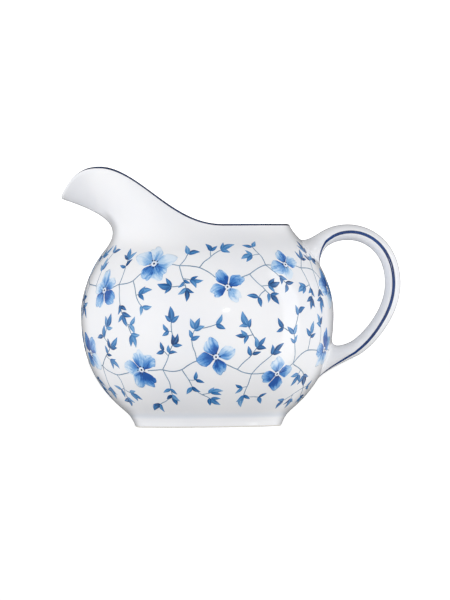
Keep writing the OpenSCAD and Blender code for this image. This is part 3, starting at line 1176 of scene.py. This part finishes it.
def petal_colour(place):
    """Wet cobalt: dark near the heart and on one side, drawn out pale to the tip.

    A second stroke ends in a crisp edge, and colour gathers where a petal ends.
    """
    along, across = stroke = uv_map(place, "strokes")
    tone, seed = uv_map(place, "tone")
    streak = streaks(stroke, seed, (1.3, 9.0), 1.0)
    wash = streaks(stroke, seed, (2.2, 2.2), 1.0)
    second = stroke_noise(stroke, seed, (1.3, 1.9))
    depth = add_up(
        times(tone, 0.95),
        remap(along, 0.75, 0.1, 0.0, 0.3, True),
        remap(along, 0.45, 1.05, 0.0, -0.42),
        remap(across, 0.0, 1.0, 0.12, -0.14),
        times(streak, remap(along, 0.1, 0.9, 0.05, 0.2)),
        times(wash, 0.1),
        remap(second, 0.47, 0.55, -0.07, 0.17, True),
        remap(off_middle(across), 0.43, 0.5, 0.0, 0.12, True),
        remap(along, 0.9, 1.0, 0.0, 0.14, True),
    )
    pale = ((0.0, "DDEBF9"), (0.25, "B5D3F0"), (0.5, "7FB0E2"))
    return ramp(depth, *pale, (0.75, "4283CC"), (1.0, "1755A6"))


def leaf_colour(place):
    """Cobalt leaves: dark at the base, with a paler vein and tip."""
    along, across = stroke = uv_map(place, "strokes")
    tone, seed = uv_map(place, "tone")
    depth = add_up(
        remap(tone, *LEAF_TONES, 0.2, 0.84),
        streaks(stroke, seed, (1.2, 5.0), 0.2),
        remap(off_middle(across), 0.02, 0.16, -0.22, 0.0, True),
        remap(along, 0.0, 1.0, 0.28, -0.05),
    )
    stops = ((0.0, "90BADF"), (0.4, "4F8FC8"), (0.75, "2667A6"), (1.0, "103C70"))
    return ramp(depth, *stops)


def mottled_material(name, scale, detail, spread, first, second):
    """A glossy colour that drifts between two tones."""

    def drift(place):
        share = remap(noise(place, scale, detail), 0.5 - spread, 0.5 + spread)
        return blend_colour(share, rgb(first), rgb(second))

    return glossy_material(name, drift)


# ---- stage, lights and camera ----

CAMERA_DISTANCE = 3.0
PICTURE_HEIGHT = 0.228
PICTURE_CENTRE = (0.0068, 0.0480)
ROLL = math.radians(0.6)


def make_camera():
    data = bpy.data.cameras.new("camera")
    data.sensor_width = 36
    data.lens = data.sensor_width * CAMERA_DISTANCE / PICTURE_HEIGHT
    data.clip_start, data.clip_end = 0.1, 20
    camera = add_object("camera", data)
    camera.location = (PICTURE_CENTRE[0], -CAMERA_DISTANCE, PICTURE_CENTRE[1])
    camera.rotation_euler = (math.pi / 2, ROLL, 0)
    bpy.context.scene.camera = camera


FLOOR_EDGE, SWEEP_REACH, SWEEP_HEIGHT = 3.4, 5.0, 2.2
STAGE_SIDES = 96
STAGE_GAP = 0.00002  # below the foot, in metres


def stage_surface(name, radii, glow):
    """Part of a pale sweep: flat round the jug, curving up far away."""
    rise = np.clip((radii - FLOOR_EDGE) / (SWEEP_REACH - FLOOR_EDGE), 0, 1)
    profile = np.stack([radii, SWEEP_HEIGHT * rise**2 - STAGE_GAP], 1) / MM
    rings = revolve(profile[::-1], np.arange(STAGE_SIDES) * 360 / STAGE_SIDES)
    verts, faces = closed_rings(rings)
    outer_fan = len(rings) * STAGE_SIDES
    open_at = {outer_fan, outer_fan + 1} if radii[0] > 1 else {outer_fan}
    faces = [face for face in faces if not open_at & set(face)]
    surface = make_mesh(name, verts, faces)
    material, shader = new_material(name + "_white")
    tint = remap(noise(coordinates(shader, "Object"), 3.0), 0.3, 0.7)
    inputs = {
        "Base Color": blend_colour(tint, rgb("F7F7F7"), rgb("FAFAFA")),
        "Roughness": 0.95,
        "Specular IOR Level": 0.0,
        "Emission Color": (1, 1, 1, 1),
        "Emission Strength": glow,
    }
    feed(shader, inputs)
    coat(material, surface)
    surface.visible_diffuse = surface.visible_glossy = False
    return surface


def make_stage():
    """A floor and a sweep that throw no light on the jug."""
    floor = stage_surface("floor", np.linspace(0.02, FLOOR_EDGE, 24), 0.57)
    floor.visible_shadow = False
    stage_surface("sweep", np.linspace(FLOOR_EDGE, SWEEP_REACH, 17), 0.9)


AIM = (0, 0, 0.05)
# Name, place, size, power, and whether the glaze mirrors it.
SOFTBOXES = (
    ("window", (0.31, -1.0, 0.13), (0.065, 0.065), 0.26, True),
    ("front", (-1.25, -1.0, 0.2), (1.1, 1.1), 8.1, False),
    ("fill", (1.0, -1.2, 0.1), (0.9, 0.9), 1.7, False),
    ("strip", (1.2, -0.16, 0.05), (0.42, 2.0), 4.7, True),
)


def add_softbox(name, place, size, power, mirrored):
    data = bpy.data.lights.new(name, "AREA")
    data.shape = "RECTANGLE"
    data.size, data.size_y = size
    data.energy = power
    lamp = add_object(name, data)
    lamp.location = place
    direction = np.array(AIM) - np.array(place)
    lamp.rotation_euler = Vector(direction).to_track_quat("-Z", "Y").to_euler()
    lamp.visible_camera = False
    lamp.visible_glossy = mirrored


def make_lights():
    """A room that is dimmer above, below and far behind, and four soft lights."""
    world = bpy.data.worlds.new("studio")
    world.use_nodes = True
    background = world.node_tree.nodes["Background"]
    _, away, up = separate(coordinates(background, "Generated"))
    above = remap(up, 0.0, 0.9, 0.99, 0.36)
    below = remap(up, -0.32, -0.95, 1.0, 0.12, True)
    far = remap(away, 0.7, 0.93, 1.0, 0.05, True)
    level = times(above, times(below, far))
    feed(background, {"Color": (0.99, 0.993, 1.0, 1), "Strength": level})
    bpy.context.scene.world = world
    bpy.context.scene.view_settings.view_transform = "Standard"
    for softbox in SOFTBOXES:
        add_softbox(*softbox)


def build():
    glaze = glaze_material()
    rim_blue = mottled_material("cobalt_rim", 120.0, 3.0, 0.2, "122448", "223A68")
    line_blue = mottled_material("cobalt_line", 120.0, 3.0, 0.2, "10285A", "234988")
    stem_blue = mottled_material("cobalt_stems", 260.0, 2.0, 0.18, "567D9E", "86A5C0")
    white = mottled_material("print_white", 900.0, 2.0, 0.15, "E4EBF7", "F2F5FB")
    coat(glaze, make_body(), make_handle())
    coat(rim_blue, make_rim_line())
    for side, end in ((1, "back"), (-1, "front")):
        line = make_handle_line("handle_band_" + end, side, "handle_line_" + end)
        coat(line_blue, line)
    layout = lay_out_print()
    coat(glossy_material("cobalt_petals", petal_colour), make_petals(layout))
    coat(glossy_material("cobalt_leaves", leaf_colour), make_leaves(layout))
    coat(stem_blue, make_stems(layout))
    hearts, stamens = make_hearts(layout)
    coat(white, hearts)
    coat(rim_blue, stamens)


make_camera()
make_stage()
make_lights()
build()
